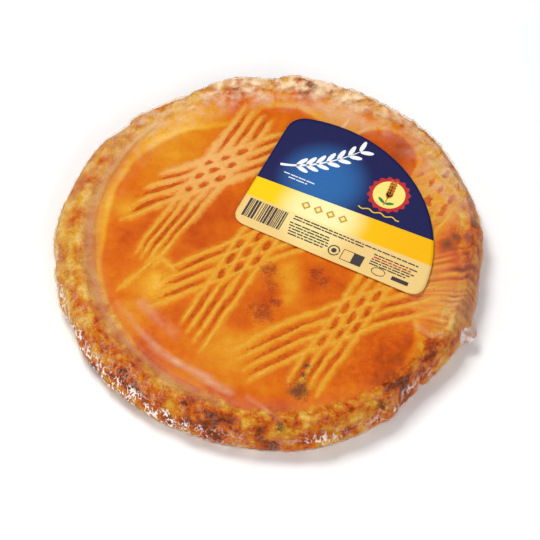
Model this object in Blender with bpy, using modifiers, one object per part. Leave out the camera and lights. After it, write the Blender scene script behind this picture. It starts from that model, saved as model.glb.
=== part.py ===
"""A breton butter cake sealed in clear film, with its paper label stuck on top.

The wrapped cake is one closed solid that stands on its flat underside. Its outer form has the
cake's lumpy raised rim, the shallow moat inside it, the fork-scored top, the pleats of the film
and the small tail where the film is gathered and sealed. The label is a thin solid above it.
"""
import math
import random

import bmesh
import bpy
import numpy as np
from mathutils import Matrix, Vector

MM = 0.001

# The round cake: its radius at the belly of the side, and its height at the crest of the rim
CAKE_RADIUS = 97.5 * MM
CAKE_HEIGHT = 25.0 * MM
INNER_TOP_HEIGHT = 23.4 * MM
MOAT_HEIGHT = 22.1 * MM
FLAT_BASE_INSET = 7.0 * MM
COLUMNS = 156

# The moat runs nearest the middle on one side, where it is deepest; round the other side it moves
# out towards the edge and fills up. The angle and spread of the deep side are in degrees.
MOAT_RADIUS = 77.5 * MM
MOAT_WIDTH = 4.5 * MM
DEEP_SIDE = 177.0
DEEP_SPREAD = 55.0
MOAT_SHIFT = 7.5 * MM
MOAT_FILL = 1.1 * MM
STILL_RADIUS = 40.0 * MM

# Where the outline swells out or is pressed in: angle and spread in degrees, size. Swells start at
# a share of the radius and grow by a power of the way out.
SWELL_START = 0.62
SWELL_POWER = 1.5
OUTLINE_SWELLS = (
    (15, 20, 2.0 * MM), (40, 11, 2.2 * MM), (61, 4, 1.2 * MM), (81, 5, 1.6 * MM), (90, 4, -2.2 * MM),
    (100, 4, 1.2 * MM), (116, 9, -2.4 * MM), (135, 4, -1.2 * MM), (146, 12, 2.3 * MM),
    (168, 11, 1.8 * MM), (190, 14, 0.8 * MM), (203, 9, -0.9 * MM), (281, 14, 1.7 * MM),
    (288, 30, 1.6 * MM), (315, 7, -2.2 * MM), (350, 7, -0.8 * MM),
)

# Lumps of the crumbly rim, as waves round the cake: where they swell, how many there are in a turn,
# how high they are and how far they lean as they rise
RIM_RADIUS = CAKE_RADIUS - 11.0 * MM
RIM_WIDTH = 6.5 * MM
RIM_WAVES = (9, 17, 23, 31, 41)
RIM_LUMP = 0.6 * MM
SIDE_LUMP = 0.5 * MM
BASE_EASE = 3.0 * MM
LUMP_RISE = 7.0 * MM
LUMP_SEED = 7

# The film's gathered tail: its place round the cake, how far it sticks out and where it is widest
TAIL_ANGLE = -24.5
TAIL_SPREAD = 3.0
TAIL_LENGTH = 3.8 * MM
TAIL_HEIGHT = 9.0 * MM
TAIL_THICKNESS = 4.5 * MM
PLEATS_IN_HALF_TURN = 13
PLEAT_DEPTH = 0.75 * MM
PLEAT_REACH = 24.0 * MM
PLEAT_START = 6.0 * MM

# Columns of the mesh crowd together by the tail, where the pleats are
CROWDING = 9.0
CROWDING_SPREAD = 17.0

# Fork strokes scored across the top, the steep ones first. Each band has its two ends, its sideways
# bend, its width at each end and how much later its left side starts, in millimetres, and then its
# number of tines.
BANDS = (
    ((-56, -12), (-4, 70), 0.0, 10.5, 15, 2, 4),
    ((-36, -54), (20, 43), 0.0, 14.5, 16.5, 8, 4),
    ((14, -77), (86, 33), 2.0, 14, 15, 0, 4),
    ((-70.5, 18), (10, 52.5), 0.0, 15.6, 14.5, 26, 4),
    ((-56, -28), (84, 32), 1.0, 16, 15, 15, 4),
    ((-13, -65), (78, -27), 4.0, 17, 17, 0, 4),
)
TINE_WIDTH = 2.2 * MM
SLOT_WIDTH = 2.3 * MM
SLOT_DEPTH = 0.8 * MM
SHORTEST_SLOT = 2.6 * MM
SCORED_RADIUS = 71.0 * MM
SAMPLES_ALONG = 240

# The paper label: its lower left corner, the turn of its lower edge, and its outline, which is a
# square corner closed by an arc about a point on the lower edge
LABEL_CORNER = (-17.0 * MM, 10.2 * MM)
LABEL_TURN = -26.6
LABEL_ARC_CENTRE = 25.0 * MM
LABEL_ARC_RADIUS = 68.1 * MM
LABEL_ARC_POINTS = 30
LABEL_FILLET = 7.0 * MM
LABEL_FILLET_POINTS = 7
LABEL_THICKNESS = 0.3 * MM
LABEL_GAP = 0.35 * MM


def clear_scene():
    """Remove every object that the new file holds."""
    for item in list(bpy.data.objects):
        bpy.data.objects.remove(item, do_unlink=True)


def make_material(name, colour, roughness, metallic=0.0):
    """A Principled material with one colour, roughness and metallic value."""
    material = bpy.data.materials.new(name)
    material.use_nodes = True
    shader = material.node_tree.nodes["Principled BSDF"]
    shader.inputs["Base Color"].default_value = (*colour, 1.0)
    shader.inputs["Roughness"].default_value = roughness
    shader.inputs["Metallic"].default_value = metallic
    return material


def mesh_object(name, mesh, collection):
    """A new object that holds the mesh, in the collection."""
    item = bpy.data.objects.new(name, mesh)
    collection.objects.link(item)
    return item


def angle_between(angle, centre):
    """Signed difference of two angles in degrees, from -180 to 180."""
    return (angle - centre + 180.0) % 360.0 - 180.0


def side_profile():
    """Radius and height of the turned blank, from the top's centre out over the rim and down."""
    r = CAKE_RADIUS
    top = INNER_TOP_HEIGHT
    high = CAKE_HEIGHT
    return (
        (0.0, top + 0.5 * MM),
        (r - 78.0 * MM, top + 0.5 * MM),
        (r - 56.0 * MM, top + 0.35 * MM),
        (r - 38.0 * MM, top + 0.1 * MM),
        (r - 26.0 * MM, top),
        (r - 23.0 * MM, top - 0.2 * MM),
        (MOAT_RADIUS, MOAT_HEIGHT),
        (r - 17.5 * MM, MOAT_HEIGHT + 0.5 * MM),
        (r - 15.5 * MM, high - 0.9 * MM),
        (r - 13.0 * MM, high - 0.1 * MM),
        (r - 10.2 * MM, high - 0.2 * MM),
        (r - 7.5 * MM, high - 1.6 * MM),
        (r - 4.8 * MM, high - 4.0 * MM),
        (r - 2.4 * MM, high - 7.6 * MM),
        (r - 0.7 * MM, high - 12.0 * MM),
        (r, high - 16.5 * MM),
        (r - 0.7 * MM, 4.2 * MM),
        (r - 3.0 * MM, 1.3 * MM),
        (r - FLAT_BASE_INSET, 0.0),
    )


def turned_blank(collection):
    """The smooth round form: the profile turned about Z, with one flat face underneath."""
    profile = bpy.data.meshes.new("blank_profile")
    points = [(radius, 0.0, height) for radius, height in side_profile()]
    profile.from_pydata(points, [(i, i + 1) for i in range(len(points) - 1)], [])
    blank = mesh_object("blank", profile, collection)
    turn = blank.modifiers.new("turn", "SCREW")
    turn.axis = "Z"
    turn.angle = math.tau
    turn.steps = COLUMNS
    turn.render_steps = COLUMNS
    turn.use_merge_vertices = True
    turn.merge_threshold = 0.01 * MM
    bpy.context.view_layer.update()
    mesh = bpy.data.meshes.new_from_object(blank.evaluated_get(bpy.context.evaluated_depsgraph_get()))
    bpy.data.objects.remove(blank, do_unlink=True)
    shape = bmesh.new()
    shape.from_mesh(mesh)
    bmesh.ops.remove_doubles(shape, verts=shape.verts, dist=0.01 * MM)
    rim_edges = [edge for edge in shape.edges if edge.is_boundary]
    bmesh.ops.contextual_create(shape, geom=rim_edges)
    bmesh.ops.recalc_face_normals(shape, faces=shape.faces)
    shape.to_mesh(mesh)
    shape.free()
    return mesh


def wave_sum(angle, height, phases):
    """Waves round the cake added up, within about -1 to 1, leaning either way as they rise."""
    total = np.zeros_like(angle)
    for order, (turns, phase) in enumerate(zip(RIM_WAVES, phases)):
        lean = (-1) ** order * height / LUMP_RISE
        total += np.cos(np.radians(angle) * turns + phase + lean) / (1.0 + 0.25 * order)
    return total / 2.2


def off_deep_side(angle):
    """0 in the middle of the moat's deep side, towards 1 round the far side of the cake."""
    return 1.0 - np.exp(-(angle_between(angle, DEEP_SIDE) / DEEP_SPREAD) ** 2)


def moat_warp(radius, angle):
    """How far a point moves out with the moat: most at its radius, none far in or at the edge."""
    inner = np.clip((radius - STILL_RADIUS) / (MOAT_RADIUS - STILL_RADIUS), 0.0, 1.0)
    outer = np.clip((CAKE_RADIUS - radius) / (CAKE_RADIUS - MOAT_RADIUS), 0.0, 1.0)
    return MOAT_SHIFT * off_deep_side(angle) * np.minimum(inner, outer)


def swell(angle):
    """How far the outline stands out of the plain round at an angle in degrees."""
    total = np.zeros_like(angle)
    for centre, spread, size in OUTLINE_SWELLS:
        total += size * np.exp(-(angle_between(angle, centre) / spread) ** 2)
    return total


def pleats(x, y):
    """Film folds that fan out from the tail: ridges in the angle about it, fading with distance."""
    turn = math.radians(TAIL_ANGLE)
    tail_x = CAKE_RADIUS * math.cos(turn)
    tail_y = CAKE_RADIUS * math.sin(turn)
    distance = np.hypot(x - tail_x, y - tail_y)
    bearing = np.arctan2(y - tail_y, x - tail_x) - turn
    fade = np.exp(-(distance / PLEAT_REACH) ** 2) * np.clip(distance / PLEAT_START, 0.0, 1.0)
    return PLEAT_DEPTH * np.cos(PLEATS_IN_HALF_TURN * 2.0 * bearing) * fade


def shape_wrapped_form(mesh):
    """Move the blank's vertices to the lumpy outline, rim, pleats and tail, flat underneath."""
    rng = random.Random(LUMP_SEED)
    crest_phases = [rng.uniform(0.0, math.tau) for _ in RIM_WAVES]
    side_phases = [rng.uniform(0.0, math.tau) for _ in RIM_WAVES]
    flat = np.empty(len(mesh.vertices) * 3)
    mesh.vertices.foreach_get("co", flat)
    x, y, z = flat.reshape(-1, 3).T
    radius = np.hypot(x, y)
    angle = np.degrees(np.arctan2(y, x))
    off_tail = angle_between(angle, TAIL_ANGLE)
    angle = angle - CROWDING * np.tanh(off_tail / CROWDING_SPREAD) * (1.0 - np.abs(off_tail) / 180.0)
    way_out = (radius / CAKE_RADIUS - SWELL_START) / (1.0 - SWELL_START)
    outwards = np.clip(way_out, 0.0, 1.0) ** SWELL_POWER
    on_top = z > 0.5 * CAKE_HEIGHT
    on_rim = np.exp(-((radius - RIM_RADIUS) / RIM_WIDTH) ** 2) * on_top
    above_base = np.clip(z / BASE_EASE, 0.0, 1.0)
    in_moat = np.exp(-((radius - MOAT_RADIUS) / MOAT_WIDTH) ** 2) * on_top
    z = z + MOAT_FILL * in_moat * off_deep_side(angle)
    radius = radius + moat_warp(radius, angle) * on_top
    radius = radius + swell(angle) * outwards
    radius = radius + SIDE_LUMP * wave_sum(angle, z, side_phases) * outwards * above_base
    off_tail = angle_between(angle, TAIL_ANGLE)
    tail = np.exp(-(off_tail / TAIL_SPREAD) ** 2 - ((z - TAIL_HEIGHT) / TAIL_THICKNESS) ** 2)
    radius = radius + TAIL_LENGTH * tail * (radius > 0.9 * CAKE_RADIUS)
    x = radius * np.cos(np.radians(angle))
    y = radius * np.sin(np.radians(angle))
    z = z + on_rim * RIM_LUMP * wave_sum(angle, radius, crest_phases)
    z = z + pleats(x, y) * on_top
    x = x - 0.5 * (x.min() + x.max())
    y = y - 0.5 * (y.min() + y.max())
    mesh.vertices.foreach_set("co", np.stack((x, y, z), axis=1).ravel())
    mesh.update()


def band_line(band, share):
    """Points along a line of a band: the share 0 to 1 is across it, from its left to its right."""
    start, end, bend, start_width, end_width, late_start, _ = band
    start = np.array(start) * MM
    end = np.array(end) * MM
    length = np.linalg.norm(end - start)
    along = (end - start) / length
    left = np.array((-along[1], along[0]))
    first = (1.0 - share) * late_start * MM / length
    t = np.linspace(first, 1.0, SAMPLES_ALONG)[:, None]
    width = (start_width + (end_width - start_width) * t) * MM
    arch = 4.0 * bend * MM * t * (1.0 - t)
    return start + (end - start) * t + left * (arch + (0.5 - share) * width)


def clear_of_tines(points, other):
    """True where the points lie clear of every tine line of another band."""
    clear = np.ones(len(points), dtype=bool)
    tines = other[-1]
    for tine in range(tines):
        line = band_line(other, tine / (tines - 1))
        gap = np.linalg.norm(points[:, None, :] - line[None, :, :], axis=2).min(axis=1)
        clear &= gap > 0.36 * TINE_WIDTH
    return clear


def slot_runs():
    """Ends of each dark slot that the tines leave: between two lines, broken where bands cross."""
    runs = []
    for band in BANDS:
        tines = band[-1]
        for gap in range(tines - 1):
            points = band_line(band, (gap + 0.5) / (tines - 1))
            angle = np.degrees(np.arctan2(points[:, 1], points[:, 0]))
            reach = SCORED_RADIUS + moat_warp(SCORED_RADIUS, angle)
            keep = np.hypot(points[:, 0], points[:, 1]) < reach
            for other in BANDS:
                if other is not band:
                    keep &= clear_of_tines(points, other)
            edges = np.flatnonzero(np.diff(np.concatenate(([0], keep.astype(int), [0]))))
            for first, last in zip(edges[::2], edges[1::2]):
                start = points[first]
                end = points[last - 1]
                if np.linalg.norm(end - start) > SHORTEST_SLOT:
                    runs.append((start, end))
    return runs


def apart(runs):
    """The runs whose middles keep clear of those before them, as crossing slots share a pit."""
    kept = []
    for start, end in runs:
        middle = 0.5 * (start + end)
        if all(np.linalg.norm(middle - 0.5 * (a + b)) > 1.2 * SLOT_WIDTH for a, b in kept):
            kept.append((start, end))
    return kept


def slot_cutters(collection):
    """One mesh of slender spindles, each sunk into the top where the glaze lies between tines."""
    shape = bmesh.new()
    surface = INNER_TOP_HEIGHT + 0.3 * MM
    for start, end in apart(slot_runs()):
        middle = 0.5 * (start + end)
        run = end - start
        length = np.linalg.norm(run)
        place = Matrix.Translation(Vector((middle[0], middle[1], surface)))
        turn = Matrix.Rotation(math.atan2(run[1], run[0]), 4, "Z")
        size = Matrix.Diagonal((0.5 * length, 0.5 * SLOT_WIDTH, SLOT_DEPTH, 1.0))
        lie = Matrix.Rotation(0.5 * math.pi, 4, "Y")
        bmesh.ops.create_uvsphere(shape, u_segments=4, v_segments=4, radius=1.0,
                                  matrix=place @ turn @ size @ lie)
    mesh = bpy.data.meshes.new("slot_cutters")
    shape.to_mesh(mesh)
    shape.free()
    cutters = mesh_object("slot_cutters", mesh, collection)
    cutters.hide_render = True
    cutters.display_type = "WIRE"
    return cutters


def make_wrapped_cake(parts, cutters):
    """The cake in its film: the shaped blank with the fork's slots cut in its top."""
    mesh = turned_blank(parts)
    mesh.name = "wrapped_cake"
    shape_wrapped_form(mesh)
    cake = mesh_object("wrapped_cake", mesh, parts)
    score = cake.modifiers.new("score", "BOOLEAN")
    score.operation = "DIFFERENCE"
    score.object = slot_cutters(cutters)
    score.use_self = True
    mesh.shade_smooth()
    mesh.set_sharp_from_angle(angle=math.radians(40.0))
    mesh.materials.append(make_material("wrapped_cake", (0.62, 0.21, 0.03), 0.35))
    return cake


def fillet(before, corner, after):
    """Points round a corner: the quadratic curve from one point beside it to the other."""
    before, corner, after = (np.array(p, dtype=float) for p in (before, corner, after))
    t = np.linspace(0.0, 1.0, LABEL_FILLET_POINTS)[:, None]
    return (1.0 - t) ** 2 * before + 2.0 * t * (1.0 - t) * corner + t ** 2 * after


def label_outline():
    """The label's edge in its own frame, anticlockwise from its lower left corner."""
    size = LABEL_FILLET
    radius = LABEL_ARC_RADIUS
    length = LABEL_ARC_CENTRE + radius
    height = math.sqrt(radius ** 2 - LABEL_ARC_CENTRE ** 2)
    corner_turn = size / radius
    last_turn = math.pi - math.acos(LABEL_ARC_CENTRE / radius)
    turns = np.linspace(corner_turn, last_turn - corner_turn, LABEL_ARC_POINTS)
    arc = np.stack((LABEL_ARC_CENTRE + radius * np.cos(turns), radius * np.sin(turns)), axis=1)
    return np.concatenate((
        fillet((0.0, size), (0.0, 0.0), (size, 0.0)),
        fillet((length - size, 0.0), (length, 0.0), arc[0])[:-1],
        arc[:-1],
        fillet(arc[-1], (0.0, height), (0.0, height - size)),
    ))


def make_label(parts):
    """The paper label, a thin flat solid that lies just above the film."""
    curve = bpy.data.curves.new("label", "CURVE")
    curve.dimensions = "2D"
    curve.fill_mode = "BOTH"
    curve.extrude = 0.5 * LABEL_THICKNESS
    outline = label_outline()
    spline = curve.splines.new("POLY")
    spline.points.add(len(outline) - 1)
    for point, (x, y) in zip(spline.points, outline):
        point.co = (x, y, 0.0, 1.0)
    spline.use_cyclic_u = True
    label = bpy.data.objects.new("label", curve)
    parts.objects.link(label)
    height = INNER_TOP_HEIGHT + 0.5 * MM + LABEL_GAP + 0.5 * LABEL_THICKNESS
    label.location = (*LABEL_CORNER, height)
    label.rotation_euler = (0.0, 0.0, math.radians(LABEL_TURN))
    curve.materials.append(make_material("label", (0.05, 0.07, 0.25), 0.4))
    return label


def main():
    """Build both solids, each in the collection of the object."""
    clear_scene()
    parts = bpy.data.collections.new("breton_butter_cake")
    cutters = bpy.data.collections.new("cutters")
    for collection in (parts, cutters):
        bpy.context.scene.collection.children.link(collection)
    make_wrapped_cake(parts, cutters)
    make_label(parts)
    bpy.context.view_layer.update()


main()
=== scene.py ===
import math
import random

import bpy
import numpy as np
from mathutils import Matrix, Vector


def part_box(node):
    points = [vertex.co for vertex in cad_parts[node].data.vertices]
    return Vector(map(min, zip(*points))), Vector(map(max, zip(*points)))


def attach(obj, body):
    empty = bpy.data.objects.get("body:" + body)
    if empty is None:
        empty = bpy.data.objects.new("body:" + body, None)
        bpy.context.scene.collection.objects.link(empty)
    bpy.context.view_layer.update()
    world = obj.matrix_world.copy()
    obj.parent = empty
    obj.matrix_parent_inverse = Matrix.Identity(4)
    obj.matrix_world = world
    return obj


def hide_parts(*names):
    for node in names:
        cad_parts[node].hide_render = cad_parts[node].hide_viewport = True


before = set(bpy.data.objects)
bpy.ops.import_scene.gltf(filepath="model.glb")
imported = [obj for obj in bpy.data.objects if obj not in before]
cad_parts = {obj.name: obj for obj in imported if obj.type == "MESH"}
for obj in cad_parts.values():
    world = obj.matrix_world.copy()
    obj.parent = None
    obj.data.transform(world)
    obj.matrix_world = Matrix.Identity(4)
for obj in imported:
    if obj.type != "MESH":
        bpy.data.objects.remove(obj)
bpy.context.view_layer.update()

# The studio
# The cake lies on a white table. One broad lamp hangs high on the left, a slim one stands low
# in front on the left, a soft one fills from the front right, and the camera looks steeply down.
MM = 0.001
CAMERA_ELEVATION = math.radians(57.0)
CAMERA_DISTANCE = 1.0
CAMERA_AIM_HEIGHT = 12.5 * MM
PICTURE_WIDTH = 540
FOCAL_LENGTH_PIXELS = 2222.5
AIM_LEFT_OF_CENTRE_PIXELS = 1.4
AIM_ABOVE_CENTRE_PIXELS = 17.4
TABLE_SIZE = 6.0
TABLE_COLOUR = (0.985, 0.99, 1.0)
WALL_LIGHT = 0.27
WALL_TINT = (0.86, 0.93, 1.0)
WHITE = (1.0, 1.0, 1.0)
SENSOR_WIDTH = 36.0


def linear(red, green, blue):
    """The colour of three 0 to 255 screen values, as the linear numbers that shaders take."""
    screen = np.array((red, green, blue)) / 255.0
    return tuple(np.where(screen > 0.04045, ((screen + 0.055) / 1.055) ** 2.4, screen / 12.92).tolist())


class Wire:
    """A shader socket whose arithmetic adds Math nodes, so that a mask is written as a sum."""

    def __init__(self, finish, socket):
        self.finish = finish
        self.socket = socket

    def maths(self, operation, *terms):
        return self.finish.node("ShaderNodeMath", {"operation": operation}, dict(enumerate(terms)))

    def __add__(self, other):
        return self.maths("ADD", self, other)

    def __radd__(self, other):
        return self.maths("ADD", other, self)

    def __sub__(self, other):
        return self.maths("SUBTRACT", self, other)

    def __rsub__(self, other):
        return self.maths("SUBTRACT", other, self)

    def __mul__(self, other):
        return self.maths("MULTIPLY", self, other)

    def __rmul__(self, other):
        return self.maths("MULTIPLY", other, self)

    def __truediv__(self, other):
        return self.maths("DIVIDE", self, other)

    def __abs__(self):
        return self.maths("ABSOLUTE", self)

    def sine(self):
        return self.maths("SINE", self)

    def least(self, other):
        return self.maths("MINIMUM", self, other)

    def most(self, other):
        return self.maths("MAXIMUM", self, other)

    def step(self, low, high):
        """0 below low, 1 above high, and an even S between them."""
        settings = {"interpolation_type": "SMOOTHSTEP"}
        return self.finish.node("ShaderNodeMapRange", settings, {"Value": self, 1: low, 2: high})


class Finish:
    """A material and its nodes, each made by one method that sets it up and joins its sockets."""

    def __init__(self, name):
        self.material = bpy.data.materials.new(name)
        self.material.use_nodes = True
        self.material.node_tree.nodes.clear()

    def node(self, kind, settings=None, sockets=None, output=0):
        """A node with its settings made first, then its sockets' values or links."""
        tree = self.material.node_tree
        made = tree.nodes.new(kind)
        for key, value in (settings or {}).items():
            if key == "stops":
                ramp = made.color_ramp
                while len(ramp.elements) < len(value):
                    ramp.elements.new(1.0)
                for element, (place, colour) in zip(ramp.elements, value):
                    element.position = place
                    element.color = (*colour, 1.0)
            else:
                setattr(made, key, value)
        for key, value in (sockets or {}).items():
            if isinstance(value, Wire):
                tree.links.new(value.socket, made.inputs[key])
            elif isinstance(value, tuple) and made.inputs[key].type == "RGBA":
                made.inputs[key].default_value = (*value, 1.0)
            else:
                made.inputs[key].default_value = value
        return Wire(self, made.outputs[output]) if len(made.outputs) else None

    def attribute(self, name):
        return self.node("ShaderNodeAttribute", {"attribute_name": name}, output="Fac")

    def noise(self, size, detail=2.0, roughness=0.5, shift=0.0, stretch=(1.0, 1.0, 1.0)):
        """Noise from 0 to 1 on Object coordinates, with lumps of about the size in metres."""
        place = self.node("ShaderNodeTexCoord", output="Object")
        scale = tuple(part / size for part in stretch)
        mapping = {"Vector": place, "Location": (shift,) * 3, "Scale": scale}
        moved = self.node("ShaderNodeMapping", {}, mapping)
        sockets = {"Vector": moved, "Scale": 1.0, "Detail": detail, "Roughness": roughness}
        return self.node("ShaderNodeTexNoise", {}, sockets)

    def mix(self, share, first, second):
        """The second colour over the first by a share from 0 to 1."""
        settings = {"data_type": "RGBA", "clamp_factor": True}
        return self.node("ShaderNodeMix", settings, {0: share, 6: first, 7: second}, output=2)

    def ramp(self, value, *stops):
        """A colour that runs through stops, each a value from 0 to 1 and the colour there."""
        return self.node("ShaderNodeValToRGB", {"stops": stops}, {"Fac": value})

    def bump(self, height, distance, strength=1.0):
        sockets = {"Height": height, "Distance": distance, "Strength": strength}
        return self.node("ShaderNodeBump", {}, sockets)

    def opaque(self, colour, roughness, specular, normal=None):
        """A surface that hides what lies under it."""
        sockets = {"Base Color": colour, "Roughness": roughness, "Specular IOR Level": specular}
        if normal is not None:
            sockets["Normal"] = normal
        return self.node("ShaderNodeBsdfPrincipled", {}, sockets)

    def gloss(self, roughness, normal):
        """A white reflection and nothing under it."""
        sockets = {"Color": WHITE, "Roughness": roughness, "Normal": normal}
        return self.node("ShaderNodeBsdfGlossy", {}, sockets)

    def see_through(self):
        return self.node("ShaderNodeBsdfTransparent", {}, {"Color": WHITE})

    def over(self, share, under, upper):
        """The upper surface over the one under it by a share from 0 to 1."""
        return self.node("ShaderNodeMixShader", {}, {0: share, 1: under, 2: upper})

    def end(self, surface):
        self.node("ShaderNodeOutputMaterial", {}, {"Surface": surface})
        return self.material


def add(name, data):
    """A new object of the data, in the scene."""
    item = bpy.data.objects.new(name, data)
    bpy.context.scene.collection.objects.link(item)
    return item


def lamp(name, towards, distance, width, height, power, colour):
    """A flat lamp at a distance from the cake, in a direction, and facing it."""
    light = bpy.data.lights.new(name, "AREA")
    light.shape = "RECTANGLE"
    light.size = width
    light.size_y = height
    light.energy = power
    light.color = colour
    item = add(name, light)
    towards = Vector(towards).normalized()
    item.location = towards * distance
    item.rotation_euler = towards.to_track_quat("Z", "Y").to_euler()


lamp("key_lamp", (-0.25, 0.24, 0.94), 1.2, 0.42, 0.42, 9.7, (1.0, 0.98, 0.95))
lamp("low_lamp", (-0.76, -0.60, 0.24), 0.8, 0.26, 0.09, 1.3, WHITE)
lamp("fill_lamp", (0.45, -0.65, 0.62), 1.5, 0.9, 0.9, 8.0, WHITE)

world = bpy.data.worlds.new("studio_walls")
world.use_nodes = True
world.node_tree.nodes["Background"].inputs["Color"].default_value = (*WALL_TINT, 1.0)
world.node_tree.nodes["Background"].inputs["Strength"].default_value = WALL_LIGHT
bpy.context.scene.world = world
bpy.context.scene.view_settings.view_transform = "Standard"

camera_data = bpy.data.cameras.new("camera")
camera_data.sensor_width = SENSOR_WIDTH
camera_data.lens = SENSOR_WIDTH * FOCAL_LENGTH_PIXELS / PICTURE_WIDTH
camera_data.shift_x = AIM_LEFT_OF_CENTRE_PIXELS / PICTURE_WIDTH
camera_data.shift_y = -AIM_ABOVE_CENTRE_PIXELS / PICTURE_WIDTH
camera_data.clip_start = 0.05
camera_data.clip_end = 20.0
camera = add("camera", camera_data)
camera.location = (
    0.0,
    -CAMERA_DISTANCE * math.cos(CAMERA_ELEVATION),
    CAMERA_AIM_HEIGHT + CAMERA_DISTANCE * math.sin(CAMERA_ELEVATION),
)
camera.rotation_euler = (0.5 * math.pi - CAMERA_ELEVATION, 0.0, 0.0)
bpy.context.scene.camera = camera

half = 0.5 * TABLE_SIZE
table_corners = [(-half, -half, 0), (half, -half, 0), (half, half, 0), (-half, half, 0)]
table_mesh = bpy.data.meshes.new("table")
table_mesh.from_pydata(table_corners, [], [(0, 1, 2, 3)])
table = add("table", table_mesh)
paint = Finish("white_table")
table_mesh.materials.append(paint.end(paint.opaque(TABLE_COLOUR, 0.9, 0.1)))

# The cake
# A thick round of butter dough, pressed flat in its tin, with a lumpy raised rim and a shallow
# moat inside it. The top is brushed with egg, scored with a fork and baked to a deep gold.
CAKE_RADIUS = 97.5 * MM
CAKE_HEIGHT = 25.0 * MM
INNER_TOP_HEIGHT = 23.4 * MM
FLAT_BASE_INSET = 7.0 * MM
MOAT_RADIUS = 77.5 * MM
MOAT_HEIGHT = 22.1 * MM
MOAT_WIDTH = 4.5 * MM
MOAT_SHIFT = 7.5 * MM
MOAT_FILL = 1.1 * MM
STILL_RADIUS = 40.0 * MM
DEEP_SIDE = (177.0, 55.0)
SWELL_START = 0.62
SWELL_POWER = 1.5
# Where the outline stands out or in: angle and spread in degrees, and size in millimetres.
OUTLINE_SWELLS = (
    (15, 20, 2.0), (40, 11, 2.2), (61, 4, 1.2), (81, 5, 1.6), (90, 4, -2.2), (100, 4, 1.2),
    (116, 9, -2.4), (135, 4, -1.2), (146, 12, 2.3), (168, 11, 1.8), (190, 14, 0.8), (203, 9, -0.9),
    (281, 14, 1.7), (288, 30, 1.6), (315, 7, -2.2), (350, 7, -0.8),
)
RIM_RADIUS = CAKE_RADIUS - 11.0 * MM
RIM_WIDTH = 6.5 * MM
RIM_WAVES = (9, 17, 23, 31, 41)
RIM_LUMP = 0.6 * MM
SIDE_LUMP = 0.5 * MM
BASE_EASE = 3.0 * MM
LUMP_RISE = 7.0 * MM
LUMP_SEED = 7
UNDERSIDE_ROWS = 8
CAKE_ROWS = 152
CAKE_COLUMNS = 640
INNER_RADIUS = 76.0 * MM
CAKE_INNER_SHARE = 0.66

# Six pulls of the fork and two strokes of one tine: start, end, bend, width at either end,
# how late the left tine starts, and the number of tines. Sizes in millimetres.
BANDS = (
    ((-56, -12), (-4, 70), 0, 10.5, 15, 2, 4),
    ((-36, -54), (20, 43), 0, 14.5, 16.5, 8, 4),
    ((14, -77), (86, 33), 2, 14, 15, 0, 4),
    ((-70.5, 18), (10, 52.5), 0, 15.6, 14.5, 26, 4),
    ((-56, -28), (84, 32), 1, 16, 15, 15, 4),
    ((-13, -65), (78, -27), 4, 17, 17, 0, 4),
    ((-67, -27), (-46, -6), 0, 1, 1, 0, 1),
    ((-48, -8), (-40, -18), 0, 1, 1, 0, 1),
)
TINE_WIDTH = 2.7 * MM
TINE_TAPER = 5.0 * MM
SLOT_WIDTH = 2.4 * MM
SLOT_DEPTH = 0.8 * MM
SHORTEST_SLOT = 2.6 * MM
SHORT_SLOT = 8.0 * MM
SHORT_SLOT_SWELLS = (1.7, 1.3)
SHORT_SLOT_SHARE = 0.8
SLOT_STRENGTHS = (0.55, 1.0)
SLOT_STEEPNESS = 0.95
FAR_CROSS = 20.0 * MM
SLOT_SEED = 21
SCORED_RADIUS = 71.0 * MM
# The slots that the tines pressed into the rim, right of the label: each one's two ends.
RIM_SLOTS = (
    ((68, 35), (71, 37.5)), ((73, 29.5), (75, 33)), ((80.2, 34), (81.3, 37.5)),
    ((77, 25.5), (79, 28.5)), ((85, 27.5), (86.5, 30.5)), ((81.3, 20), (83.5, 24)),
    ((77.8, 16), (79.5, 18.5)), ((71.7, 18.5), (73, 20.5)), ((75.5, 13.5), (78, 15)),
)
SAMPLES_ALONG = 240

# Where the egg wash ends: angle in degrees and radius in millimetres.
GLAZE_EDGE = (
    (0, 66), (10, 66), (24, 66), (29, 74), (31, 79), (36, 83), (42, 84), (47, 82),
    (52, 77), (56, 68), (60, 64), (66, 64), (71, 70), (80, 75), (92, 72), (98, 64),
    (112, 67), (125, 71), (146, 75), (165, 73), (180, 73), (195, 76), (215, 79), (231, 81),
    (250, 84), (270, 88), (290, 89), (308, 88), (320, 82), (328, 73), (345, 69),
)
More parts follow.
